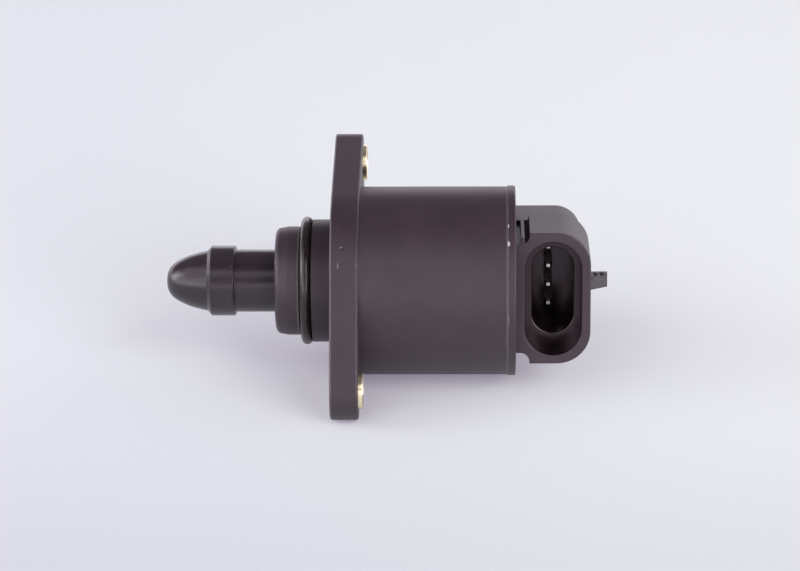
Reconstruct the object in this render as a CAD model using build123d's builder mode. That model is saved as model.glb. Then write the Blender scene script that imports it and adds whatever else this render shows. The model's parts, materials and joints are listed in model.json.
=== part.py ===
"""Idle air control valve: a small stepper motor turns a lead screw, which slides a keyed pintle.

Millimetres. X runs along the valve axis, from the pintle nose (-X) to the connector (+X). The origin
is on that axis, in the flange's seating face. Z is up: the valve lies as it rests on a table, on the
flat flank between the flange's round middle and its front ear, with the socket facing forward (-Y).
"""
import os
from math import asin, cos, radians, sin

from build123d import *

os.makedirs("parts", exist_ok=True)

# Flange and its two screw bushes
flange_thickness = 4.8
flange_lip = 0.3
flange_edge_radius = 0.4
ear_radius = 5.0
screw_spacing = 46.95
screw_offset = 1.375
screw_bore_radius = 2.6
bush_wall = 0.5
bush_stand = 0.7

# Nose side of the housing: spigot, seal groove and guide boss
spigot_radius = 10.5
spigot_length = 3.35
seal_section = 1.9
seal_side_gap = 0.05
seal_groove_radius = 9.0
boss_radius = 9.3
boss_front_radius = 8.95
boss_taper_length = 2.2
boss_length = 4.3
boss_corner_radius = 1.0
boss_groove_radius = 0.25
relief_width = 0.75
relief_depth = 0.4

# Barrel and rear cap
barrel_radius = 16.1
barrel_end = 29.9
barrel_wall = 1.6
cap_lip = 0.15
cap_thickness = 1.35
cap_edge_radius = 0.3
cap_spigot_wall = 2.0
cap_fit_gap = 0.1

# Pintle, shown at rest, and its brass nut
nose_tip = -28.5
nose_length = 7.1
nose_base_radius = 5.2
nose_shoulder = (0.9, 2.65)
nose_flank = (2.95, 3.96)
nose_base_slope = 0.24
collar_radius = 6.0
collar_length = 4.15
collar_front_chamfer = 0.65
collar_back_chamfer = 0.25
stem_radius = 5.35
stem_gap = 0.08
stem_end = -0.5
retract_travel = 6.0
key_width = 2.4
key_reach = 6.2
key_length = 3.5
key_gap = 0.15
nut_length = 6.0
nut_radius = 4.2
nut_gap = 0.05
screw_room = 0.5

# Lead screw and rotor
lead_screw_radius = 2.5
lead_screw_tip = -8.5
lead_screw_chamfer = 0.6
lead_screw_seat = 14.0
hub_radius = 4.0
hub_collar_radius = 4.7
hub_collar_length = 0.7
magnet_radius = 7.3
magnet_end_gap = 1.0
journal_radius = 2.0
journal_gap = 0.03
journal_end_gap = 0.3

# Front ball bearing
bearing_end_gap = 0.5
bearing_width = 4.0
bearing_outer_radius = 8.0
race_wall = 1.15
race_gap = 0.12
ball_radius = 1.1
ball_count = 7
cage_wall = 0.8
cage_width = 3.2

# Rear bush and the cone washer that takes up end play
bush_radius = 3.5
bush_length = 2.6
bush_boss_wall = 1.5
washer_thickness = 0.25
washer_height = 0.6
washer_radius = 3.4
washer_gap = 0.05

# Two claw-pole stators, back to back
pole_thickness = 1.0
can_wall = 0.8
can_fit_gap = 0.05
bobbin_length = 6.6
bobbin_flange = 0.7
bobbin_wall = 0.75
bobbin_gap = 0.1
winding_gap = 0.5
claw_count = 6
claw_inner_radius = 7.6
claw_thickness = 0.8
claw_root_width = 3.6
claw_tip_width = 1.6
claw_end_gap = 0.6

# Connector: its turn from the front ear, base, neck, shroud with a stepped socket, latch and pins
socket_clocking = 38.5
socket_wall = 1.5
mouth_width = 9.55
mouth_height = 20.0
mouth_depth = 5.0
cavity_width = 6.95
cavity_height = 15.2
cavity_depth = 18.6
rim_height = 10.35
rim_wall = 1.55
rim_edge_radius = 0.25
ledge_edge_radius = 0.3
shroud_length = 12.0
shroud_corner_radius = 5.7
base_inset = 1.3
base_floor = 2.25
notch_width = 2.3
notch_depth = 1.95
notch_radius = 1.6
rib_place = 1.15
rib_width = 0.6
rib_height = 1.2
latch_reach = 3.15
latch_width = 2.4
latch_height = 3.1
latch_tip_height = 1.1
latch_front = 1.9
pin_pitch = 3.36
pin_count = 4
pin_width = 1.4
pin_thickness = 1.0
pin_tip_width = 0.6
pin_tip_chamfer = 0.25
pin_inset = 0.55
pin_taper = 1.1
pin_tip_depth = 13.4
leg_thickness = 0.9
leg_cover = 0.7
leg_end_gap = 0.8

# Places along and around the valve axis that follow from these sizes
flange_mid_radius = barrel_radius + flange_lip
stator_bore_radius = barrel_radius - barrel_wall
cap_radius = barrel_radius + cap_lip
front_screw = screw_spacing / 2 - screw_offset
back_screw = screw_spacing / 2 + screw_offset
bush_outer_radius = screw_bore_radius + bush_wall
rest_angle = asin((flange_mid_radius - ear_radius) / front_screw)
socket_angle = radians(socket_clocking) - rest_angle

seal_groove_length = seal_section + 2 * seal_side_gap
groove_front = -spigot_length - seal_groove_length
seal_place = -spigot_length - seal_groove_length / 2
seal_circle_radius = seal_groove_radius + seal_side_gap + seal_section / 2
boss_face = groove_front - boss_length
stem_bore_radius = stem_radius + stem_gap
keyway_radius = key_reach + key_gap

bearing_front = stem_end + retract_travel + bearing_end_gap
bearing_back = bearing_front + bearing_width
bearing_middle = (bearing_front + bearing_back) / 2
inner_race_radius = hub_radius + race_wall
outer_race_radius = bearing_outer_radius - race_wall
ball_circle_radius = (inner_race_radius + outer_race_radius) / 2

stator_front = bearing_back
stack_length = bobbin_length + 2 * pole_thickness
stator_middle = stator_front + stack_length
stator_back = stator_middle + stack_length
can_radius = stator_bore_radius - can_fit_gap
claw_outer_radius = claw_inner_radius + claw_thickness
bobbin_inner_radius = claw_outer_radius + bobbin_gap
winding_inner_radius = bobbin_inner_radius + bobbin_wall
bobbin_flange_radius = can_radius - can_wall - bobbin_gap

hub_shoulder = stator_back - washer_height
magnet_front = stator_front + magnet_end_gap
magnet_back = stator_back - magnet_end_gap
bush_back = stator_back + bush_length
cap_back = barrel_end + cap_thickness
cap_spigot_radius = stator_bore_radius - cap_fit_gap

socket_centre = cap_back + socket_wall + mouth_width / 2
pin_centre = socket_centre - pin_inset
ledge_height = rim_height - mouth_depth
shroud_end = socket_centre + mouth_width / 2 + rim_wall
shroud_start = cap_back + notch_width
shroud_back = rim_height - shroud_length
shroud_half_height = mouth_height / 2 + rim_wall
neck_half_height = shroud_half_height - notch_depth
base_end = shroud_end - base_inset
base_back = rim_height - cavity_depth - base_floor
base_half_height = shroud_half_height - base_inset
leg_bottom = base_back + leg_cover

# Directions: the ears, the socket and the plane that cuts the socket along its pins
front_ear = Vector(0, -cos(rest_angle), -sin(rest_angle))
socket_out = Vector(0, -cos(socket_angle), sin(socket_angle))
socket_up = Vector(0, sin(socket_angle), cos(socket_angle))
socket_axis = Axis((0, 0, 0), tuple(socket_out))
ear_plane = Plane(origin=(0, 0, 0), x_dir=front_ear, z_dir=(1, 0, 0))
socket_plane = Plane(origin=(0, 0, 0), x_dir=(1, 0, 0), z_dir=socket_out)
pin_plane = Plane(origin=(0, 0, 0), x_dir=(1, 0, 0), z_dir=-socket_up)


def finish(piece, name):
    """Label a finished piece and write it."""
    piece.part.label = name
    export_step(piece.part, f"parts/{name}.step")


def ring_section(start, end, inner, outer):
    """Half section of a plain turned ring about the valve axis."""
    with BuildSketch(Plane.XY) as section:
        with Locations((start, inner)):
            Rectangle(end - start, outer - inner, align=(Align.MIN, Align.MIN))
    return section.sketch


# Housing: flange, guide boss, spigot and barrel in one moulding
with BuildPart() as valve_body:
    with BuildSketch(ear_plane):
        with BuildLine():
            CenterArc((0, 0), flange_mid_radius, 0, 360)
            CenterArc((front_screw, 0), ear_radius, 0, 360)
            CenterArc((-back_screw, 0), ear_radius, 0, 360)
        make_hull()
    extrude(amount=flange_thickness)
    flange_faces = valve_body.edges().group_by(Axis.X)
    fillet(flange_faces[0] + flange_faces[-1], radius=flange_edge_radius)
    with BuildSketch(ear_plane):
        Circle(spigot_radius + relief_width)
    extrude(amount=relief_depth, mode=Mode.SUBTRACT)
    with BuildSketch(Plane.XY):
        with BuildLine():
            Polyline(
                (boss_face, 0),
                (boss_face, boss_front_radius),
                (boss_face + boss_taper_length, boss_radius),
                (groove_front, boss_radius),
                (groove_front, seal_groove_radius),
                (-spigot_length, seal_groove_radius),
                (-spigot_length, spigot_radius),
                (flange_thickness / 2, spigot_radius),
                (flange_thickness / 2, barrel_radius),
                (barrel_end, barrel_radius),
                (barrel_end, 0),
                close=True,
            )
        make_face()
    revolve(axis=Axis.X)
    boss_rim = valve_body.edges().filter_by(GeomType.CIRCLE).sort_by(Axis.X)[0]
    fillet(boss_rim, radius=boss_corner_radius)
    boss_back = valve_body.edges().filter_by(GeomType.CIRCLE).filter_by_position(
        Axis.X, groove_front - seal_side_gap, groove_front + seal_side_gap
    )
    fillet(boss_back.sort_by(SortBy.RADIUS)[-1], radius=boss_groove_radius)
    with BuildSketch(Plane.XY):
        with BuildLine():
            Polyline(
                (boss_face, 0),
                (boss_face, stem_bore_radius),
                (bearing_front, stem_bore_radius),
                (bearing_front, bearing_outer_radius),
                (stator_front, bearing_outer_radius),
                (stator_front, stator_bore_radius),
                (barrel_end, stator_bore_radius),
                (barrel_end, 0),
                close=True,
            )
        make_face()
    revolve(axis=Axis.X, mode=Mode.SUBTRACT)
    with BuildSketch(ear_plane.offset(boss_face)):
        Rectangle(key_width + 2 * key_gap, 2 * keyway_radius)
    extrude(amount=bearing_front - boss_face, mode=Mode.SUBTRACT)
    with BuildSketch(ear_plane):
        with Locations((front_screw, 0), (-back_screw, 0)):
            Circle(bush_outer_radius)
    extrude(amount=flange_thickness, mode=Mode.SUBTRACT)
finish(valve_body, "valve_body")

# Rubber seal ring, against the spigot's shoulder
with BuildPart() as seal_ring:
    with BuildSketch(Plane.XY):
        with Locations((seal_place, seal_circle_radius)):
            Circle(seal_section / 2)
    revolve(axis=Axis.X)
finish(seal_ring, "seal_ring")

# Brass bushes that take the screws' load, standing a little proud at the back
for bush_name, screw_place in (("flange_bush_front", front_screw), ("flange_bush_back", -back_screw)):
    with BuildPart() as flange_bush:
        with BuildSketch(ear_plane):
            with Locations((screw_place, 0)):
                Circle(bush_outer_radius)
                Circle(screw_bore_radius, mode=Mode.SUBTRACT)
        extrude(amount=flange_thickness + bush_stand)
    finish(flange_bush, bush_name)

# Pintle: bullet nose, seat collar and hollow stem with two guide keys
collar_front = nose_tip + nose_length
collar_back = collar_front + collar_front_chamfer + collar_length
nut_front = stem_end - nut_length
screw_hole_end = lead_screw_tip - retract_travel - screw_room
with BuildPart() as pintle:
    with BuildSketch(Plane.XY):
        with BuildLine():
            nose = Spline(
                (nose_tip, 0),
                (nose_tip + nose_shoulder[0], nose_shoulder[1]),
                (nose_tip + nose_flank[0], nose_flank[1]),
                (collar_front, nose_base_radius),
                tangents=[(0, 1), (1, nose_base_slope)],
            )
            Polyline(
                nose @ 1,
                (collar_front + collar_front_chamfer, collar_radius),
                (collar_back - collar_back_chamfer, collar_radius),
                (collar_back, collar_radius - collar_back_chamfer),
                (collar_back, stem_radius),
                (stem_end, stem_radius),
                (stem_end, 0),
                nose @ 0,
            )
        make_face()
    revolve(axis=Axis.X)
    with BuildSketch(ear_plane.offset(stem_end)):
        Rectangle(key_width, 2 * key_reach)
    extrude(amount=-key_length)
    revolve(ring_section(nut_front, stem_end, 0, nut_radius), axis=Axis.X, mode=Mode.SUBTRACT)
    revolve(
        ring_section(screw_hole_end, nut_front, 0, lead_screw_radius + screw_room),
        axis=Axis.X,
        mode=Mode.SUBTRACT,
    )
finish(pintle, "pintle")

# Brass nut pressed into the stem
with BuildPart() as drive_nut:
    revolve(ring_section(nut_front, stem_end, lead_screw_radius + nut_gap, nut_radius), axis=Axis.X)
finish(drive_nut, "drive_nut")

# Lead screw, held in the rotor hub
with BuildPart() as lead_screw:
    revolve(
        ring_section(lead_screw_tip, bearing_front + lead_screw_seat, 0, lead_screw_radius),
        axis=Axis.X,
    )
    chamfer(lead_screw.edges().filter_by(GeomType.CIRCLE).sort_by(Axis.X)[0], length=lead_screw_chamfer)
finish(lead_screw, "lead_screw")

# Rotor hub: bearing seat, collar, magnet seat and rear journal
with BuildPart() as rotor_hub:
    revolve(ring_section(bearing_front, hub_shoulder, 0, hub_radius), axis=Axis.X)
    revolve(
        ring_section(bearing_back, bearing_back + hub_collar_length, 0, hub_collar_radius),
        axis=Axis.X,
    )
    revolve(ring_section(hub_shoulder, bush_back - journal_end_gap, 0, journal_radius), axis=Axis.X)
    revolve(
        ring_section(bearing_front, bearing_front + lead_screw_seat, 0, lead_screw_radius),
        axis=Axis.X,
        mode=Mode.SUBTRACT,
    )
finish(rotor_hub, "rotor_hub")

# Ring magnet on the hub
with BuildPart() as rotor_magnet:
    revolve(ring_section(magnet_front, magnet_back, hub_radius, magnet_radius), axis=Axis.X)
finish(rotor_magnet, "rotor_magnet")

# Front ball bearing: two grooved rings, balls and cage
with BuildPart() as bearing_outer_ring:
    revolve(
        ring_section(bearing_front, bearing_back, outer_race_radius, bearing_outer_radius),
        axis=Axis.X,
    )
    with BuildSketch(Plane.XY):
        with Locations((bearing_middle, ball_circle_radius)):
            Circle(ball_radius + race_gap)
    revolve(axis=Axis.X, mode=Mode.SUBTRACT)
finish(bearing_outer_ring, "bearing_outer_ring")

with BuildPart() as bearing_inner_ring:
    revolve(ring_section(bearing_front, bearing_back, hub_radius, inner_race_radius), axis=Axis.X)
    with BuildSketch(Plane.XY):
        with Locations((bearing_middle, ball_circle_radius)):
            Circle(ball_radius + race_gap)
    revolve(axis=Axis.X, mode=Mode.SUBTRACT)
finish(bearing_inner_ring, "bearing_inner_ring")

with BuildPart() as bearing_balls:
    with Locations(Plane.YZ.offset(bearing_middle)):
        with PolarLocations(ball_circle_radius, ball_count):
            Sphere(ball_radius)
finish(bearing_balls, "bearing_balls")

with BuildPart() as bearing_cage:
    revolve(
        ring_section(
            bearing_middle - cage_width / 2,
            bearing_middle + cage_width / 2,
            ball_circle_radius - cage_wall / 2,
            ball_circle_radius + cage_wall / 2,
        ),
        axis=Axis.X,
    )
    with Locations(Plane.YZ.offset(bearing_middle)):
        with PolarLocations(ball_circle_radius, ball_count):
            Cylinder(ball_radius + race_gap, 2 * cage_wall, rotation=(0, 90, 0), mode=Mode.SUBTRACT)
finish(bearing_cage, "bearing_cage")


def claw_ring(root, reach, first_angle):
    """Tapered claws bent from a pole plate, reaching along the axis from their root."""
    with BuildPart() as claws:
        for index in range(claw_count):
            angle = radians(first_angle + index * 360 / claw_count)
            out = (0, cos(angle), sin(angle))
            with BuildSketch(Plane(origin=(root, 0, 0), x_dir=(1, 0, 0), z_dir=out)):
                with BuildLine():
                    Polyline(
                        (0, -claw_root_width / 2),
                        (reach, -claw_tip_width / 2),
                        (reach, claw_tip_width / 2),
                        (0, claw_root_width / 2),
                        close=True,
                    )
                make_face()
            extrude(amount=claw_outer_radius + claw_thickness)
        start, end = sorted((root, root + reach))
        revolve(
            ring_section(start, end, claw_inner_radius, claw_outer_radius),
            axis=Axis.X,
            mode=Mode.INTERSECT,
        )
    return claws.part


# Stators: each is an end cup and a middle plate with claws that mesh, round a wound bobbin
claw_reach = bobbin_length - claw_end_gap
claw_pitch = 360 / claw_count
stacks = (("front", stator_front, 1, 0), ("rear", stator_back, -1, claw_pitch / 4))
for stack_name, stack_end, inward, turn in stacks:
    cup_floor = stack_end + inward * pole_thickness
    plate_face = cup_floor + inward * bobbin_length
    cup_claws = claw_ring(cup_floor, inward * claw_reach, turn)
    plate_claws = claw_ring(plate_face, -inward * claw_reach, turn + claw_pitch / 2)
    floor_start, floor_end = sorted((stack_end, cup_floor))
    can_start, can_end = sorted((cup_floor, stator_middle))
    plate_start, plate_end = sorted((plate_face, stator_middle))
    spool_start, spool_end = sorted((cup_floor, plate_face))
    with BuildPart() as end_pole_cup:
        revolve(ring_section(floor_start, floor_end, claw_inner_radius, can_radius), axis=Axis.X)
        revolve(ring_section(can_start, can_end, can_radius - can_wall, can_radius), axis=Axis.X)
        add(cup_claws)
    finish(end_pole_cup, f"{stack_name}_end_pole_cup")
    with BuildPart() as middle_pole_plate:
        revolve(
            ring_section(plate_start, plate_end, claw_inner_radius, can_radius - can_wall - can_fit_gap),
            axis=Axis.X,
        )
        add(plate_claws)
    finish(middle_pole_plate, f"{stack_name}_middle_pole_plate")
    with BuildPart() as bobbin:
        revolve(
            ring_section(spool_start, spool_end, bobbin_inner_radius, winding_inner_radius), axis=Axis.X
        )
        for flange_start in (spool_start, spool_end - bobbin_flange):
            flange_end = flange_start + bobbin_flange
            revolve(
                ring_section(flange_start, flange_end, bobbin_inner_radius, bobbin_flange_radius),
                axis=Axis.X,
            )
    finish(bobbin, f"{stack_name}_bobbin")
    with BuildPart() as winding:
        revolve(
            ring_section(
                spool_start + bobbin_flange,
                spool_end - bobbin_flange,
                winding_inner_radius,
                bobbin_flange_radius - winding_gap,
            ),
            axis=Axis.X,
        )
    finish(winding, f"{stack_name}_winding")

# Rear bush and cone washer behind the rotor
with BuildPart() as rear_bush:
    revolve(ring_section(stator_back, bush_back, journal_radius + journal_gap, bush_radius), axis=Axis.X)
finish(rear_bush, "rear_bush")

with BuildPart() as preload_washer:
    with BuildSketch(Plane.XY):
        with BuildLine():
            Polyline(
                (stator_back, journal_radius + washer_gap),
                (stator_back - washer_thickness, journal_radius + washer_gap),
                (hub_shoulder + washer_gap, washer_radius),
                (hub_shoulder + washer_gap + washer_thickness, washer_radius),
                close=True,
            )
        make_face()
    revolve(axis=Axis.X)
finish(preload_washer, "preload_washer")

# Four bent terminals: a tapered pin in the socket and a leg through the cap to the windings
terminals = []
for index in range(pin_count):
    place = (index - (pin_count - 1) / 2) * pin_pitch
    with BuildPart() as terminal:
        with BuildSketch(pin_plane.offset(place - pin_thickness / 2)):
            with BuildLine():
                Polyline(
                    (stator_back + leg_end_gap, leg_bottom),
                    (pin_centre + pin_width / 2, leg_bottom),
                    (pin_centre + pin_width / 2, rim_height - pin_tip_depth - pin_taper),
                    (pin_centre + pin_tip_width / 2, rim_height - pin_tip_depth),
                    (pin_centre - pin_tip_width / 2, rim_height - pin_tip_depth),
                    (pin_centre - pin_width / 2, rim_height - pin_tip_depth - pin_taper),
                    (pin_centre - pin_width / 2, leg_bottom + leg_thickness),
                    (stator_back + leg_end_gap, leg_bottom + leg_thickness),
                    close=True,
                )
            make_face()
        extrude(amount=pin_thickness)
        pin_tip = terminal.faces().sort_by(socket_axis)[-1]
        chamfer(pin_tip.edges().filter_by(Axis.X), length=pin_tip_chamfer)
    finish(terminal, f"terminal_{index + 1}")
    terminals.append(terminal.part)

# Rear cap: disc, locating ring and bush boss, with the connector block moulded on
with BuildPart() as rear_cap:
    revolve(ring_section(barrel_end, cap_back, 0, cap_radius), axis=Axis.X)
    fillet(rear_cap.edges().filter_by(GeomType.CIRCLE).sort_by(Axis.X)[-1], radius=cap_edge_radius)
    revolve(
        ring_section(stator_back, barrel_end, cap_spigot_radius - cap_spigot_wall, cap_spigot_radius),
        axis=Axis.X,
    )
    revolve(ring_section(stator_back, barrel_end, 0, bush_radius + bush_boss_wall), axis=Axis.X)
    with BuildSketch(socket_plane.offset(base_back)) as base_outline:
        with Locations((cap_back, 0)):
            Rectangle(base_end - cap_back, 2 * base_half_height, align=(Align.MIN, Align.CENTER))
        fillet(base_outline.vertices().group_by(Axis.X)[-1], radius=shroud_corner_radius - base_inset)
    extrude(amount=shroud_back - base_back)
    with BuildSketch(socket_plane.offset(shroud_back)) as shroud_outline:
        with Locations((shroud_start, 0)):
            Rectangle(shroud_end - shroud_start, 2 * shroud_half_height, align=(Align.MIN, Align.CENTER))
        fillet(shroud_outline.vertices().group_by(Axis.X)[-1], radius=shroud_corner_radius)
        with Locations((cap_back, 0)):
            Rectangle(notch_width, 2 * neck_half_height, align=(Align.MIN, Align.CENTER))
        notch_corners = shroud_outline.vertices().group_by(Axis.X)[1].sort_by(Axis.Y)[1:-1]
        fillet(notch_corners, radius=notch_radius)
    extrude(amount=shroud_length)
    with BuildSketch(socket_plane.offset(shroud_back)):
        with Locations((cap_back + rib_place, neck_half_height)):
            Rectangle(rib_width, rib_height, align=(Align.CENTER, Align.MIN))
    extrude(amount=shroud_length)
    with BuildSketch(pin_plane):
        with BuildLine():
            Polyline(
                (shroud_end, latch_front - latch_height),
                (shroud_end + latch_reach, latch_front - latch_height),
                (shroud_end + latch_reach, latch_front - latch_height + latch_tip_height),
                (shroud_end, latch_front),
                close=True,
            )
        make_face()
    extrude(amount=latch_width / 2, both=True)
    with BuildSketch(socket_plane.offset(rim_height)):
        with Locations((socket_centre, 0)):
            SlotOverall(mouth_height, mouth_width, rotation=90)
    extrude(amount=-mouth_depth, mode=Mode.SUBTRACT)
    with BuildSketch(socket_plane.offset(rim_height)):
        with Locations((socket_centre, 0)):
            SlotOverall(cavity_height, cavity_width, rotation=90)
    extrude(amount=-cavity_depth, mode=Mode.SUBTRACT)
    facing_out = rear_cap.faces().filter_by(socket_axis)
    rim = facing_out.sort_by(socket_axis)[-1]
    ledge = facing_out.sort_by(lambda face: abs(face.center().dot(socket_out) - ledge_height))[0]
    fillet(ledge.inner_wires()[0].edges(), radius=ledge_edge_radius)
    rim_edges = rim.edges().filter_by(lambda edge: edge.center().X > shroud_start)
    fillet(rim_edges, radius=rim_edge_radius)
    revolve(ring_section(stator_back, bush_back, 0, bush_radius), axis=Axis.X, mode=Mode.SUBTRACT)
    for terminal_solid in terminals:
        add(terminal_solid, mode=Mode.SUBTRACT)
finish(rear_cap, "rear_cap")
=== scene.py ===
# %% [markdown]
# # Dressing an idle air control valve
# The solids of the valve are ready: a moulded barrel with a flange, a sliding pintle, a sealed spigot and
# a plug socket, with the stepper motor inside. They could be modelled once more by hand here, but the
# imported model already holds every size, so it is loaded as a fixed frame, and the lesson only adds
# finishes, the few forms that solids leave plain, and a place to photograph it.

# %% Load the solids
import json
from math import cos, pi, radians, sin

import bmesh
import bpy
from mathutils import Matrix, Vector


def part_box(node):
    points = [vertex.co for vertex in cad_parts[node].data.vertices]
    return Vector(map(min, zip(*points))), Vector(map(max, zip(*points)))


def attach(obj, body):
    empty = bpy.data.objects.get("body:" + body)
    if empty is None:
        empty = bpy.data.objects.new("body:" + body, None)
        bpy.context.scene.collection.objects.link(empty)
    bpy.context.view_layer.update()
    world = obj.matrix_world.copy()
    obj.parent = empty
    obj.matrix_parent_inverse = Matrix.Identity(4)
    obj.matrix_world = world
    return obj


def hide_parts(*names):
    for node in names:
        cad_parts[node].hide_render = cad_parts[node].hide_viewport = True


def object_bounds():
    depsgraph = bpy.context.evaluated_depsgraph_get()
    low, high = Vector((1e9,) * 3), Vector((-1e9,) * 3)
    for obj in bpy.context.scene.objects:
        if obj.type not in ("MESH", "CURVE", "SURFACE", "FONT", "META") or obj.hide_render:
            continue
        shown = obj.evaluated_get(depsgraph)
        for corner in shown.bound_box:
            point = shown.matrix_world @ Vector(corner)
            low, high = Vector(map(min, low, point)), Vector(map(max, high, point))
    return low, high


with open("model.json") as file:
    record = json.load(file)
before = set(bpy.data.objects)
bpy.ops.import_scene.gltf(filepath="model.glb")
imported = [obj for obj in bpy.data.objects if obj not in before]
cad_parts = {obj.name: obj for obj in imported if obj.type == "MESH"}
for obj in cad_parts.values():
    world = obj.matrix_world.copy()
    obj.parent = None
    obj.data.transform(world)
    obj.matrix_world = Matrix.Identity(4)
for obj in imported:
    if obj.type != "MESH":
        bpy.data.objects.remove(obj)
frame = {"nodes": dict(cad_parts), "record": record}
cad_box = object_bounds()
MM = 0.001
solid_crease = radians(28)
for node in frame["nodes"].values():
    node.data.shade_smooth()
    node.data.set_sharp_from_angle(angle=solid_crease)
print(len(frame["nodes"]), "solids,", [round(c / MM, 1) for c in cad_box[1] - cad_box[0]], "mm")

# %% [markdown]
# ## Sums in a shader
# A finish is mostly arithmetic on noise and on places. It could be wired node by node, but then the
# formula is lost in the wiring. A small class that stands for one socket lets Python's own signs add the
# Math nodes, so `1 - mask` reads as it is meant. All other nodes come from its one method, `node`.


# %% A socket that can be added and multiplied
class Wire:
    """One output socket of a shader tree. Sums of wires become Math nodes."""

    def __init__(self, tree, socket):
        self.tree = tree
        self.socket = socket

    def node(self, kind, settings, sockets, output=0):
        """Add a node: its settings first, then the values or links of its sockets."""
        made = self.tree.nodes.new(kind)
        for name, value in settings.items():
            setattr(made, name, value)
        for name, value in sockets.items():
            if isinstance(value, Wire):
                self.tree.links.new(value.socket, made.inputs[name])
            else:
                made.inputs[name].default_value = value
        return Wire(self.tree, made.outputs[output])

    def maths(self, operation, first, second):
        """Add a Math node for two values or wires."""
        return self.node("ShaderNodeMath", {"operation": operation}, {0: first, 1: second})

    def __add__(self, other):
        return self.maths("ADD", self, other)

    def __radd__(self, other):
        return self.maths("ADD", other, self)

    def __sub__(self, other):
        return self.maths("SUBTRACT", self, other)

    def __rsub__(self, other):
        return self.maths("SUBTRACT", other, self)

    def __mul__(self, other):
        return self.maths("MULTIPLY", self, other)

    def __rmul__(self, other):
        return self.maths("MULTIPLY", other, self)


print("wires add Math nodes")

# %% [markdown]
# ## A blank finish
# Every finish starts from the place on the piece, in the valve's own frame. Unwrapped coordinates are the
# other way, but the solids have none, and a place never stretches. The finishes are kept by name, so that
# the record can say later which piece takes which.

# %% A blank finish
finishes = {}


def new_finish(name):
    """Keep a new material under its name, and give its main shader and the place on the piece."""
    finishes[name] = bpy.data.materials.new(name)
    finishes[name].use_nodes = True
    tree = finishes[name].node_tree
    place = Wire(tree, tree.nodes.new("ShaderNodeTexCoord").outputs["Object"])
    return tree.nodes["Principled BSDF"], place


def feed(shader, **sockets):
    """Set or link the main shader's sockets, named with _ for a space."""
    for name, value in sockets.items():
        socket = shader.inputs[name.replace("_", " ").title().replace("Ior", "IOR")]
        if isinstance(value, Wire):
            value.tree.links.new(value.socket, socket)
        else:
            socket.default_value = value


print("blank finish ready")

# %% [markdown]
# ## Patterns
# Grain, tarnish and clouds on a real surface have a size that can be measured. They could come from a
# picture, but noise of a stated size, cut by soft thresholds, holds from every side. Sizes go in as
# millimetres, so that a grain of 0.16 is written as it would be measured.


# %% Patterns
def noise(place, size, detail=2.0):
    """Noise whose patches are about this many millimetres across."""
    return place.node("ShaderNodeTexNoise", {}, {"Vector": place, "Scale": 1 / (size * MM), "Detail": detail})


def rise(value, low, high):
    """Nought below low, one above high, smooth between."""
    return value.node(
        "ShaderNodeMapRange",
        {"interpolation_type": "SMOOTHSTEP"},
        {"Value": value, "From Min": low, "From Max": high},
    )


def mix(share, first, second):
    """The first colour, turning to the second as the share goes to one."""
    return share.node("ShaderNodeMix", {"data_type": "RGBA"}, {0: share, 6: first, 7: second}, output=2)


def tone(colour, share):
    """A colour made darker or paler."""
    return [c * share for c in colour] + [1.0]


print("patterns ready")

# %% [markdown]
# ## Bumps and edges
# A mould's skin stands up by hundredths of a millimetre, and no moulded edge is quite sharp. Both could be
# modelled, but the mesh would need millions of faces, so a bump tilts the light instead, and a bevel in the
# shader rounds the edges.

# %% Bumps
edge_round = 0.1
edge_samples = 6


def bump(height, depth, under=None):
    """A normal that is raised by height times depth in millimetres, over another bump if there is one."""
    sockets = {"Height": height, "Distance": depth * MM}
    if under is not None:
        sockets["Normal"] = under
    return height.node("ShaderNodeBump", {}, sockets)


def soft_edges(place):
    """A normal that rounds sharp edges a little, as a mould or a tumbler leaves them."""
    return place.node("ShaderNodeBevel", {"samples": edge_samples}, {"Radius": edge_round * MM})


print("edges rounded over", edge_round, "mm")

# %% [markdown]
# ## Moulded plastic
# Housing, cap and pintle are dark filled plastic, moulded in tools with a fine spark-eroded skin. A photo
# of such a skin could be laid on, but noise at the skin's own scale works from any side: wide clouds for
# the uneven gloss, half-millimetre flecks for the filler, and a fine grain as bump.

# %% Moulded plastic
cloud_size, filler_size, grain_size = 8.0, 0.45, 0.16


def moulded(name, colour, roughness, grain_depth, marks=(), sheen=0.2):
    """Filled plastic with a moulded skin. A mark is a mask builder, a colour and a depth; pits are dull."""
    shader, place = new_finish(name)
    cloud = noise(place, cloud_size, 3.0)
    filler = noise(place, filler_size, 3.0)
    grain = noise(place, grain_size, 2.0)
    base = mix(rise(0.6 * cloud + 0.4 * filler, 0.3, 0.7), tone(colour, 0.86), tone(colour, 1.14))
    gloss = roughness + 0.10 * (cloud - 0.5) + 0.12 * (filler - 0.5)
    skin = bump(grain + 0.5 * filler, grain_depth, soft_edges(place))
    for build_mask, mark_colour, depth in marks:
        mask = build_mask(place)
        base = mix(mask, base, mark_colour + [1.0])
        if depth != 0:
            skin = bump(mask, depth, skin)
        if depth < 0:
            gloss = gloss + (1 - roughness) * mask
    feed(shader, base_color=base, roughness=gloss, normal=skin, specular_ior_level=sheen)


print("grain of", grain_size, "mm")

# %% [markdown]
# ### Marks of use and painted light
# The valve has been handled: flecks of glue and a scuff at the cap's joint, nicks, scuffs, a smudge and a pit
# on the flange and the boss, a spot on the pintle's collar, and two hollows on the latch. The pit and the
# hollows are darkened with painted shade, pale bands along the cap's joint, the flange's front edge and the
# boss's rear edge are painted highlights, a pale patch on the pintle's chamfer is a painted glint, and the
# latch is made paler over a patch. Each could be cut as a shape, but most are under half a millimetre, so
# each one is a mask round a point, or a band round the valve, that changes colour, depth and gloss.

# %% Masks
fade_from = 0.65
# Size of the patches that make the edges of the painted highlight bands ragged.
band_ragged_size = 0.8
band_soft = 0.05


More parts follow.
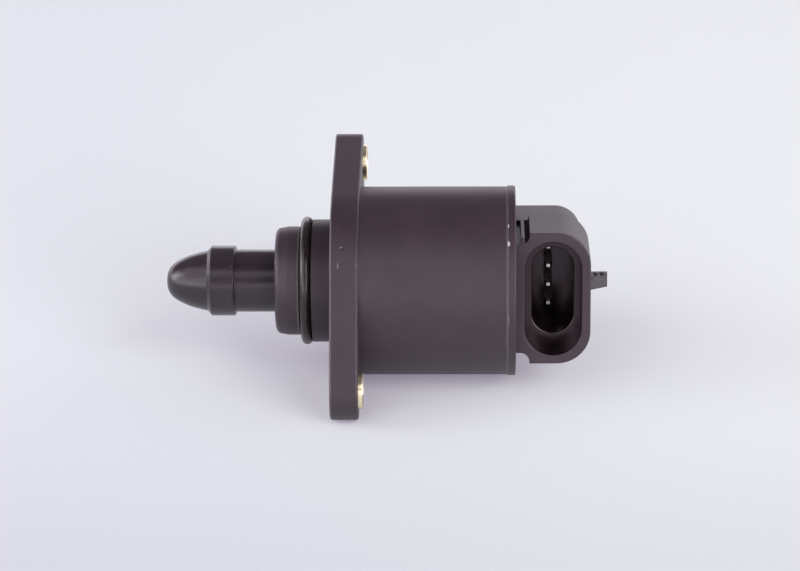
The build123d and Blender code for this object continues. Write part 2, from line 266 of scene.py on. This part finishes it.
def spot(place, centre, reach, ragged=0.0):
    """One at a centre and nought beyond its reach, both in millimetres, with a ragged edge."""
    offset = place.node(
        "ShaderNodeVectorMath", {"operation": "SUBTRACT"}, {0: place, 1: [c * MM for c in centre]}
    )
    scaled = place.node(
        "ShaderNodeVectorMath", {"operation": "DIVIDE"}, {0: offset, 1: [r * MM for r in reach]}
    )
    distance = place.node("ShaderNodeVectorMath", {"operation": "LENGTH"}, {0: scaled}, output="Value")
    edge = distance + ragged * (noise(place, min(reach), 3.0) - 0.5)
    return 1 - rise(edge, fade_from, 1.0)


# Bands carry the painted highlights: pale lines along edges, all round the valve.
def band(start, end, ragged=0.35):
    """A mask builder for a band round the valve between two places along its axis."""

    def build_mask(place):
        along = place.node("ShaderNodeSeparateXYZ", {}, {0: place}, output="X") * (1 / MM)
        # The edge of a painted highlight band is made ragged.
        ragged_along = along + ragged * (noise(place, band_ragged_size, 3.0) - 0.5)
        begun = rise(ragged_along, start - band_soft, start + band_soft)
        ended = rise(ragged_along, end - band_soft, end + band_soft)
        return begun * (1 - ended)

    return build_mask


def mark(centre, reach, colour, depth, ragged=0.0):
    """A mark round a point, for blemishes and for painted shade and highlights: its mask builder, its colour
    and how far it stands up or sinks in.
    """
    return (lambda place: spot(place, centre, reach, ragged)), colour, depth


print("a mark fades over the last", round(1 - fade_from, 2), "of its reach")

# %% Marks
glue = [0.42, 0.38, 0.39]
# Pale colour of scuffs, also used for a painted glint on the pintle's chamfer.
scuff_and_glint = [0.15, 0.13, 0.14]
# Dark colour that paints the shade inside pits and hollows; the bump sinks them.
painted_pit_shade = [0.012, 0.009, 0.011]
# Pale colour that paints a highlight along an edge.
painted_edge_highlight = [0.085, 0.073, 0.080]
smudge = [0.036, 0.022, 0.016]
# A paler tone.
paler_latch = [0.056, 0.048, 0.053]

joint_marks = [
    # A pale band along the cap's joint: a painted highlight.
    (band(29.62, 29.98), painted_edge_highlight, 0.0),
    mark((29.95, -8.26, 13.94), (0.12, 0.5, 0.5), glue, 0.03, 0.9),
    mark((29.98, -10.95, 11.95), (0.24, 0.6, 0.6), glue, 0.04, 0.9),
    mark((29.94, -16.15, 0.5), (0.13, 1.4, 1.4), scuff_and_glint, 0.01, 1.4),
]
flange_marks = [
    # Pale bands along the flange's front edge and the boss's rear edge: painted highlights.
    (band(0.06, 0.25, 0.1), painted_edge_highlight, 0.0),
    (band(-5.80, -5.52, 0.1), painted_edge_highlight, 0.0),
    # A pit, sunk by the bump and darkened with painted shade.
    mark((2.2, -11.85, 11.34), (0.22, 0.25, 0.25), painted_pit_shade, -0.05),
    mark((1.98, -11.6, 11.6), (0.18, 0.2, 0.2), scuff_and_glint, 0.02),
    mark((1.44, -13.6, 9.15), (0.1, 0.6, 0.6), scuff_and_glint, 0.01, 0.5),
    mark((4.71, -13.62, 9.14), (0.14, 0.3, 0.3), scuff_and_glint, -0.02, 0.5),
    mark((6.72, -12.66, -9.94), (0.5, 0.5, 0.5), smudge, 0.0, 0.9),
    mark((-9.7, -5.85, 6.16), (0.2, 0.5, 0.5), scuff_and_glint, 0.03, 0.6),
]
collar_marks = [
    mark((-17.14, -3.87, 4.58), (0.18, 0.22, 0.22), smudge, 0.02, 0.5),
    # A pale patch on the nose's chamfer: a painted glint, not a scuff.
    mark((-21.06, -4.25, 3.64), (0.14, 0.3, 0.3), scuff_and_glint, 0.02, 0.5),
]
latch_marks = [
    # A paler patch laid over the latch.
    mark((45.6, -0.9, -0.1), (2.0, 1.8, 2.0), paler_latch, 0.0, 0.2),
    # Two hollows on the latch, sunk by the bump and darkened with painted shade.
    mark((44.92, -0.30, 1.25), (0.46, 0.95, 0.3), painted_pit_shade, -0.12, 0.3),
    mark((46.00, 0.0, 1.21), (0.46, 0.90, 0.3), painted_pit_shade, -0.12, 0.3),
]
print(len(joint_marks + flange_marks + collar_marks + latch_marks), "marks")

# %% [markdown]
# ### Three mouldings
# Housing and cap come from the same dark purplish compound, and the pintle from a smoother, slicker one that
# has to slide. Three separate trees could be tuned one by one, but they would drift apart, so one function
# with other numbers keeps them related.

# %% Three plastics
body_tone, body_gloss = [0.0280, 0.0171, 0.0238], 0.46
pintle_tone, pintle_gloss = [0.0200, 0.0132, 0.0182], 0.25
moulded("housing_plastic", body_tone, body_gloss, 0.012, flange_marks + joint_marks, sheen=0.5)
moulded("cap_plastic", body_tone, body_gloss, 0.010, joint_marks + latch_marks, sheen=0.5)
moulded("pintle_plastic", pintle_tone, pintle_gloss, 0.0004, collar_marks, sheen=0.5)
print(", ".join(finishes))

# %% [markdown]
# ### Polished socket with painted shade
# The core that forms the socket is polished, so that the plug slides in, while the outside is eroded. That
# could be a second material on some faces, but the solid's mesh is left alone, so a mask of the socket's
# slot, turned with it, mixes two shaders. The socket's colour is also made far darker than the outside, as
# painted shade deep in the socket.

# %% Mask of the socket
socket_turn = radians(7.45)
socket_middle = 37.525
slot_half = 5.225
slot_edge = 4.80, 4.88
socket_floor = 8.3, 8.4


def in_socket(place):
    """One inside the plug socket, nought on its rim and outside."""
    turned = place.node(
        "ShaderNodeVectorRotate", {"rotation_type": "X_AXIS"}, {"Vector": place, "Angle": socket_turn}
    )
    x, y, z = (
        turned.node("ShaderNodeSeparateXYZ", {}, {0: turned}, output=axis) * (1 / MM) for axis in "XYZ"
    )
    across = x - socket_middle
    beyond = z.maths("MAXIMUM", z.maths("ABSOLUTE", z, 0.0) - slot_half, 0.0)
    in_slot = 1 - rise(across * across + beyond * beyond, slot_edge[0] ** 2, slot_edge[1] ** 2)
    return in_slot * (1 - rise(y, *socket_floor))


print("mask of a slot", round(2 * (slot_half + slot_edge[0]), 2), "mm long")

# %% Polished socket
cap_tree = finishes["cap_plastic"].node_tree
cap_place = Wire(cap_tree, cap_tree.nodes["Texture Coordinate"].outputs["Object"])
# Far darker than the outside: painted shade in the socket, with a little random tone.
core_shade_dark, core_shade_pale = [0.009, 0.0045, 0.0055, 1.0], [0.014, 0.008, 0.0095, 1.0]
polished = cap_place.node(
    "ShaderNodeBsdfPrincipled",
    {},
    {
        "Base Color": mix(noise(cap_place, 3.0), core_shade_dark, core_shade_pale),
        "Roughness": 0.14 + 0.12 * noise(cap_place, 1.2),
        "Specular IOR Level": 0.55,
        "Specular Tint": [1.0, 0.82, 0.88, 1.0],
    },
)
eroded = Wire(cap_tree, cap_tree.nodes["Principled BSDF"].outputs[0])
skins = cap_place.node("ShaderNodeMixShader", {}, {0: in_socket(cap_place), 1: eroded, 2: polished})
cap_tree.links.new(skins.socket, cap_tree.nodes["Material Output"].inputs["Surface"])
print("socket polished")

# %% [markdown]
# ## Rubber
# The seal is moulded rubber, dark and slightly glossy, with a faint bloom where its wax comes to the surface.
# One dark colour with one gloss could be set, but it would read as plastic, so the bloom shifts both.


# %% Rubber
def rubber(name, colour):
    """Moulded rubber with a bloom."""
    shader, place = new_finish(name)
    bloom = noise(place, 2.0, 4.0)
    skin = noise(place, 0.12, 2.0)
    feed(
        shader,
        base_color=mix(rise(bloom, 0.35, 0.75), tone(colour, 0.8), tone(colour, 1.35)),
        roughness=0.22 + 0.12 * bloom,
        normal=bump(skin, 0.0015),
    )


rubber("seal_rubber", [0.011, 0.0060, 0.0055])
print("seal rubber with a bloom")

# %% [markdown]
# ## Metals
# The bushes are rolled brass, the pins tinned, and the motor holds plated sheet steel, ground bearing steel
# and sintered bronze. Each is a base colour, a gloss and the direction of its tool marks. Anisotropic gloss
# could show the direction, but fine lines of drawn-out noise also catch light close up.


# %% Bare metal
def stretched(place, along):
    """The place, squeezed so that noise on it is drawn out along an axis."""
    return place.node("ShaderNodeVectorMath", {"operation": "MULTIPLY"}, {0: place, 1: along})


def metal(name, colour, roughness, drawn=(1, 1, 1), line=0.15, depth=0.003):
    """Bare metal whose fine lines are drawn out along the axes with small numbers."""
    shader, place = new_finish(name)
    lines = noise(stretched(place, drawn), line, 3.0)
    tarnish = noise(place, 1.6, 3.0)
    feed(
        shader,
        base_color=mix(rise(tarnish, 0.35, 0.75), tone(colour, 1.06), tone(colour, 0.80)),
        metallic=1.0,
        roughness=roughness + 0.14 * (lines - 0.5) + 0.10 * (tarnish - 0.5),
        normal=bump(lines, depth),
    )


print("metal ready")

# %% Metals of the valve
along_axis, round_axis, along_pin = (0.05, 1, 1), (1, 0.08, 0.08), (1, 0.1, 1)
metal("bush_brass", [0.92, 0.82, 0.55], 0.30, along_axis)
metal("nut_brass", [0.80, 0.60, 0.28], 0.28, round_axis)
metal("bush_bronze", [0.52, 0.35, 0.20], 0.45, line=0.08, depth=0.008)
metal("screw_steel", [0.60, 0.60, 0.61], 0.25, round_axis)
metal("cage_steel", [0.55, 0.55, 0.54], 0.34)
metal("spring_steel", [0.36, 0.36, 0.40], 0.32, round_axis)
metal("pole_steel", [0.56, 0.56, 0.56], 0.38, line=0.3)
metal("bearing_steel", [0.66, 0.66, 0.67], 0.14, round_axis, depth=0.001)
metal("terminal_tin", [0.64, 0.62, 0.59], 0.30, along_pin)
print(len(finishes), "finishes so far")

# %% [markdown]
# ## Wire, ferrite and nylon
# The coils are enamelled copper on cream nylon bobbins, and the rotor is a ring of dull ferrite. The enamel
# could be a tinted clear shell, but a coat over coloured metal gives the same lacquered look in one shader.
# Ferrite and nylon are moulded, so they take the plastic's function.


# %% Wire, ferrite and nylon
def enamelled_wire(name, colour):
    """Lacquered copper, with a slight change from turn to turn."""
    shader, place = new_finish(name)
    turns = noise(stretched(place, (1, 0.05, 0.05)), 0.25, 2.0)
    feed(
        shader,
        base_color=mix(turns, tone(colour, 0.75), tone(colour, 1.2)),
        metallic=0.75,
        roughness=0.26 + 0.12 * turns,
        coat_weight=0.6,
    )


enamelled_wire("winding_copper", [0.62, 0.27, 0.11])
moulded("magnet_ferrite", [0.085, 0.085, 0.092], 0.55, 0.010)
moulded("hub_plastic", [0.58, 0.55, 0.47], 0.45, 0.004)
moulded("bobbin_plastic", [0.66, 0.61, 0.50], 0.42, 0.004)
print(len(finishes), "finishes")

# %% [markdown]
# ## Put each finish on its pieces
# Every piece of the valve is one material, and the record already says which. The pairs could be listed here,
# but then they would be written down twice, so they are read from it.

# %% Assign the finishes
slot_of = {part["node"]: part["material_slot"] for part in frame["record"]["subparts"]}
finish_of = {node: finishes[slot] for node, slot in slot_of.items()}
bodies = frame["record"]["behaviour"]["bodies"]
body_of = {node: body for body, nodes in bodies.items() for node in nodes}
for name, material in finish_of.items():
    mesh = frame["nodes"][name].data
    mesh.materials.clear()
    mesh.materials.append(material)
print(len(finish_of), "pieces dressed")

# %% [markdown]
# ## Forms that the solids leave plain
# A thread, a rolled seam and the turns of a winding are too fine for the solids. They could be bump only, but
# then their edges would stay smooth in outline, so they are meshes. All three are skins over rows of points,
# so one function makes the mesh, gives it the finish of the solid it stands for, hides that solid and lets it
# move with that solid's body.

# %% Faces between rows of points
skin_crease = radians(40)


def skin_mesh(name, rows, loop):
    """A mesh of equal rows of points, in millimetres, joined in a loop or closed by two end faces."""
    width = len(rows[0])
    corners = [Vector(point) * MM for row in rows for point in row]
    faces = []
    for first in range(len(rows) - (0 if loop else 1)):
        near, far = first * width, (first + 1) % len(rows) * width
        for side in range(width):
            after = (side + 1) % width
            faces.append((near + side, near + after, far + after, far + side))
    if not loop:
        faces.append(tuple(range(width)))
        faces.append(tuple(range(len(corners) - width, len(corners))))
    mesh = bpy.data.meshes.new(name)
    mesh.from_pydata(corners, [], faces)
    outward = bmesh.new()
    outward.from_mesh(mesh)
    bmesh.ops.recalc_face_normals(outward, faces=outward.faces)
    outward.to_mesh(mesh)
    outward.free()
    mesh.shade_smooth()
    mesh.set_sharp_from_angle(angle=skin_crease)
    return mesh


print("rows become a skin")


# %% A piece that stands for a solid
def add_piece(name, rows, stands_for, loop=True):
    """A skin over rows of points that takes the place, the finish and the body of a solid."""
    mesh = skin_mesh(name, rows, loop)
    mesh.materials.append(finish_of[stands_for])
    piece = bpy.data.objects.new(name, mesh)
    bpy.context.scene.collection.objects.link(piece)
    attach(piece, body_of[stands_for])
    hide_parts(stands_for)
    print(name, "has", len(mesh.polygons), "faces")


print("bodies:", ", ".join(bodies))


# %% Rows round an axis
def about_axis(profile, centre, start, sweep, steps):
    """Rows of a profile of (x, radius) points, swept round an axis along X."""
    rows = []
    for step in range(steps + 1):
        angle = start + sweep * step / steps
        rows.append([(x, centre[0] + r * cos(angle), centre[1] + r * sin(angle)) for x, r in profile])
    return rows


def sizes_of(node):
    """Ends along X, middle of the axis, and inner and outer radius of a ring-shaped solid, in millimetres."""
    low, high = (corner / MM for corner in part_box(node))
    centre = ((low.y + high.y) / 2, (low.z + high.z) / 2)
    reach = [
        ((v.co.y / MM - centre[0]) ** 2 + (v.co.z / MM - centre[1]) ** 2) ** 0.5
        for v in frame["nodes"][node].data.vertices
    ]
    return low.x, high.x, centre, min(reach), max(reach)


print("a bush is", round(sizes_of("flange_bush_front")[4] * 2, 2), "mm across")

# %% [markdown]
# ### Rolled bushes
# The bushes in the ears are short strips of brass, rolled to a tube and left with an open seam. A tube with a
# cut would do, but rolling also rounds the lips, so a rounded section is swept almost all the way round.

# %% Rolled bushes with a seam
seam = radians(7)
lip = 0.14
lip_points = 4
bush_steps = 72
lip_turns = [90 / (lip_points - 1) * k for k in range(lip_points)]
for node, seam_at in (("flange_bush_front", radians(150)), ("flange_bush_back", radians(215))):
    start, end, centre, inner, outer = sizes_of(node)
    corners = (
        (end - lip, outer - lip, 0),
        (start + lip, outer - lip, 90),
        (start + lip, inner + lip, 180),
        (end - lip, inner + lip, 270),
    )
    profile = [
        (x + lip * cos(radians(turn + more)), r + lip * sin(radians(turn + more)))
        for x, r, turn in corners
        for more in lip_turns
    ]
    rows = about_axis(profile, centre, seam_at + seam / 2, 2 * pi - seam, bush_steps)
    add_piece(node + "_rolled", rows, node, loop=False)

# %% [markdown]
# ### Lead screw and nut
# One turn moves the pintle by one millimetre, so the thread has that pitch and is right-handed. A Screw
# modifier could sweep it, but one formula for the thread's height serves both pieces: the nut takes it with
# a running gap, and so both stay in mesh at every stroke.

# %% Thread
pitch = 1.0
thread_depth = 0.42
running_gap = 0.06
row_step = 0.05
around = 64


def thread(x, angle):
    """Height of the thread, from nought to one, with root, flanks and crest of a quarter pitch each."""
    quarter = 0.25
    phase = (x / pitch - angle / (2 * pi)) % 1.0
    return min(max((1.5 * quarter - abs(phase - 0.5)) / quarter, 0.0), 1.0)


def threaded(ends, crest, steps, fade=0.0):
    """Rows round the X axis from one end to the other, following the thread."""
    rows = []
    count = round((ends[1] - ends[0]) / row_step)
    for row in range(count + 1):
        x = ends[0] + (ends[1] - ends[0]) * row / count
        bevel = max(0.0, fade - (x - ends[0]))
        turns = [2 * pi * step / steps for step in range(steps)]
        radii = [min(crest - thread_depth * (1 - thread(x, turn)), crest - bevel) for turn in turns]
        rows.append([(x, r * cos(turn), r * sin(turn)) for r, turn in zip(radii, turns)])
    return rows


def circle(x, radius, steps):
    """A plain row of points round the X axis."""
    turns = [2 * pi * step / steps for step in range(steps)]
    return [(x, radius * cos(turn), radius * sin(turn)) for turn in turns]


print("thread of", pitch, "mm pitch")

# %% Lead screw and nut
lead_in = 0.6
shoulder = 0.01
screw_start, screw_end, _, _, screw_radius = sizes_of("lead_screw")
thread_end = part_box("rotor_hub")[0].x / MM
screw_rows = threaded((screw_start, thread_end), screw_radius, around, fade=lead_in)
shank = [circle(x, screw_radius, around) for x in (thread_end + shoulder, screw_end)]
add_piece("lead_screw_thread", screw_rows + shank, "lead_screw", loop=False)

nut_start, nut_end, _, _, nut_radius = sizes_of("drive_nut")
nut_inside = threaded((nut_start, nut_end), screw_radius + running_gap, around)
nut_outside = [circle(x, nut_radius, around) for x in (nut_end, nut_start)]
add_piece("drive_nut_thread", nut_inside + nut_outside, "drive_nut")

# %% [markdown]
# ### Windings
# Each coil is wound from enamelled wire in even layers. Single wires would be a thousand turns, and only the
# outer layer can be seen, so the coil's skin follows the crests of that layer.

# %% Wound coils
wire_size = 0.34
points_per_wire = 7
coil_steps = 96
for node in ("front_winding", "rear_winding"):
    start, end, centre, inner, outer = sizes_of(node)
    turns = round((end - start) / wire_size)
    step = (end - start) / turns
    profile = [(start, inner)]
    for turn in range(turns):
        for k in range(points_per_wire):
            across = -1 + 2 * (k + 0.5) / points_per_wire
            crown = (1 - across**2) ** 0.5
            profile.append((start + step * (turn + 0.5 + across / 2), outer - step / 2 * (1 - crown)))
    profile.append((end, inner))
    sweep = 2 * pi * (coil_steps - 1) / coil_steps
    add_piece(node + "_turns", about_axis(profile, centre, 0, sweep, coil_steps - 1), node)

# %% [markdown]
# ## Table
# The valve lies on a pale table. A sweep of paper could be modelled, but the camera looks down far enough to
# see only the table, so a wide disc does. Its colour grows paler from near to far and from left to right, a
# painted fall of light across the table, and a small share of violet glow, for what is seen directly or in a
# reflection, softens the shadows and tints them violet without lighting the valve.

# %% Table colour
floor_shader, floor_place = new_finish("pale_table")
sideways = floor_place.node("ShaderNodeSeparateXYZ", {}, {0: floor_place}, output="X")
away = floor_place.node("ShaderNodeSeparateXYZ", {}, {0: floor_place}, output="Y")
# Paler towards the rear and the right: painted light on the table.
to_right = rise(sideways, -0.06, 0.08)
to_rear = rise(away, -0.10, 0.02)
left_side = mix(to_rear, [0.568, 0.647, 0.640, 1.0], [0.745, 0.847, 0.805, 1.0])
right_side = mix(to_rear, [0.615, 0.697, 0.650, 1.0], [0.801, 0.911, 0.828, 1.0])
feed(floor_shader, base_color=mix(to_right, left_side, right_side), roughness=0.8)
print("table colour ready")

# %% Pale glow
pale_share = 0.2
floor_tree = finishes["pale_table"].node_tree
pale = floor_place.node("ShaderNodeEmission", {}, {"Color": [0.88, 0.68, 1.0, 1.0], "Strength": 1.0})
seen, mirrored, through = (
    floor_place.node("ShaderNodeLightPath", {}, {}, output=f"Is {kind} Ray")
    for kind in ("Camera", "Glossy", "Transmission")
)
for other in (mirrored, through):
    seen = seen.maths("MAXIMUM", seen, other)
lit = Wire(floor_tree, floor_shader.outputs[0])
paper = floor_place.node("ShaderNodeMixShader", {}, {0: pale_share * seen, 1: lit, 2: pale})
floor_tree.links.new(paper.socket, floor_tree.nodes["Material Output"].inputs["Surface"])
print("a share of", pale_share, "is glow")

# %% Table top
table_radius = 4.0
bpy.ops.mesh.primitive_circle_add(
    vertices=96, radius=table_radius, fill_type="NGON", location=(0, 0, cad_box[0].z)
)
table = bpy.context.object
table.name = "table"
table.data.materials.append(finishes["pale_table"])
print("table at", round(cad_box[0].z / MM, 2), "mm")

# %% [markdown]
# ## Lamps
# A dark part on a pale table needs wide, soft lamps, because a small one leaves a hard streak on every round
# face. One large lamp could do, but lamps low at the sides also show the edges, the seal and the nose. Each
# stands at an angle round from the front and an angle above the table, and faces the middle of the valve.

# %% Lamps
middle = (cad_box[0] + cad_box[1]) / 2
lamp_away = 1.8
daylight = (1.03, 0.985, 1.04)


def softbox(name, turn, height, size, power):
    """A square lamp, its turn from the front and height in degrees, its size in metres, power in watts."""
    turn, height = radians(turn), radians(height)
    lamp = bpy.data.lights.new(name, "AREA")
    lamp.size = size
    lamp.energy = power
    lamp.color = daylight
    holder = bpy.data.objects.new(name, lamp)
    holder.location = lamp_away * Vector((cos(height) * sin(turn), -cos(height) * cos(turn), sin(height)))
    holder.rotation_euler = (middle - holder.location).to_track_quat("-Z", "Y").to_euler()
    bpy.context.scene.collection.objects.link(holder)
    print(name, "gives", power, "W")


softbox("front_right", turn=45, height=33, size=1.2, power=17.5)
softbox("front_left", turn=-48, height=33, size=2.2, power=22.0)
softbox("side_right", turn=100, height=16, size=2.0, power=14.0)
softbox("skim_right", turn=40, height=8, size=0.9, power=12.0)
softbox("skim_left", turn=-42, height=7, size=1.6, power=5.0)
softbox("side_left", turn=-86, height=21, size=0.8, power=11.0)

# %% [markdown]
# ## Room
# The rest of the room is what the plastic mirrors: a pale wall low behind, which draws the bright line along
# the top of the barrel, and a dimmer glow low in front. A picture of a room would do the same, but two
# gradients of the direction are enough and need no file.

# %% Room
room_strength = 2.05
world = bpy.data.worlds.new("soft_room")
world.use_nodes = True
room_tree = world.node_tree
way = Wire(room_tree, room_tree.nodes.new("ShaderNodeTexCoord").outputs["Generated"])
up = way.node("ShaderNodeSeparateXYZ", {}, {0: way}, output="Z")
rear = rise(way.node("ShaderNodeSeparateXYZ", {}, {0: way}, output="Y"), -0.3, 0.3)
above_glow = rise(up, 0.12, 0.40)
above_wall = rise(up, 0.2, 0.36)
front_room = mix(above_glow, [0.725, 0.65, 0.745, 1.0], [0.01, 0.01, 0.01, 1.0])
rear_room = mix(1 - above_wall, [0.13, 0.12, 0.135, 1.0], [1.03, 0.97, 1.05, 1.0])
backdrop = room_tree.nodes["Background"]
room_tree.links.new(mix(rear, front_room, rear_room).socket, backdrop.inputs["Color"])
backdrop.inputs["Strength"].default_value = room_strength
bpy.context.scene.world = world
bpy.context.scene.view_settings.view_transform = "Standard"
print("room at a strength of", room_strength)

# %% [markdown]
# ## Camera
# The view is a long lens from a little above. It could be placed by eye, but the outline of a round part
# tells the angle well, so aim, distance, height, turn and lean were fitted to the photograph's outline.

# %% Camera
aim = Vector((11.497, -0.3795, -0.7940)) * MM
distance = 574 * MM
height_angle = radians(25.54)
side_turn = 0.0216
lean = radians(-0.65)
back = Vector((side_turn, -cos(height_angle), sin(height_angle)))
lens = bpy.data.cameras.new("camera")
lens.sensor_width = 36
lens.lens = 150.6
lens.clip_start = 0.01
camera = bpy.data.objects.new("camera", lens)
camera.rotation_mode = "QUATERNION"
camera.rotation_quaternion = back.to_track_quat("Z", "Y") @ Matrix.Rotation(lean, 3, "Z").to_quaternion()
camera.location = aim + back * distance
bpy.context.scene.collection.objects.link(camera)
bpy.context.scene.camera = camera
print("camera at", [round(c / MM, 1) for c in camera.location], "mm")
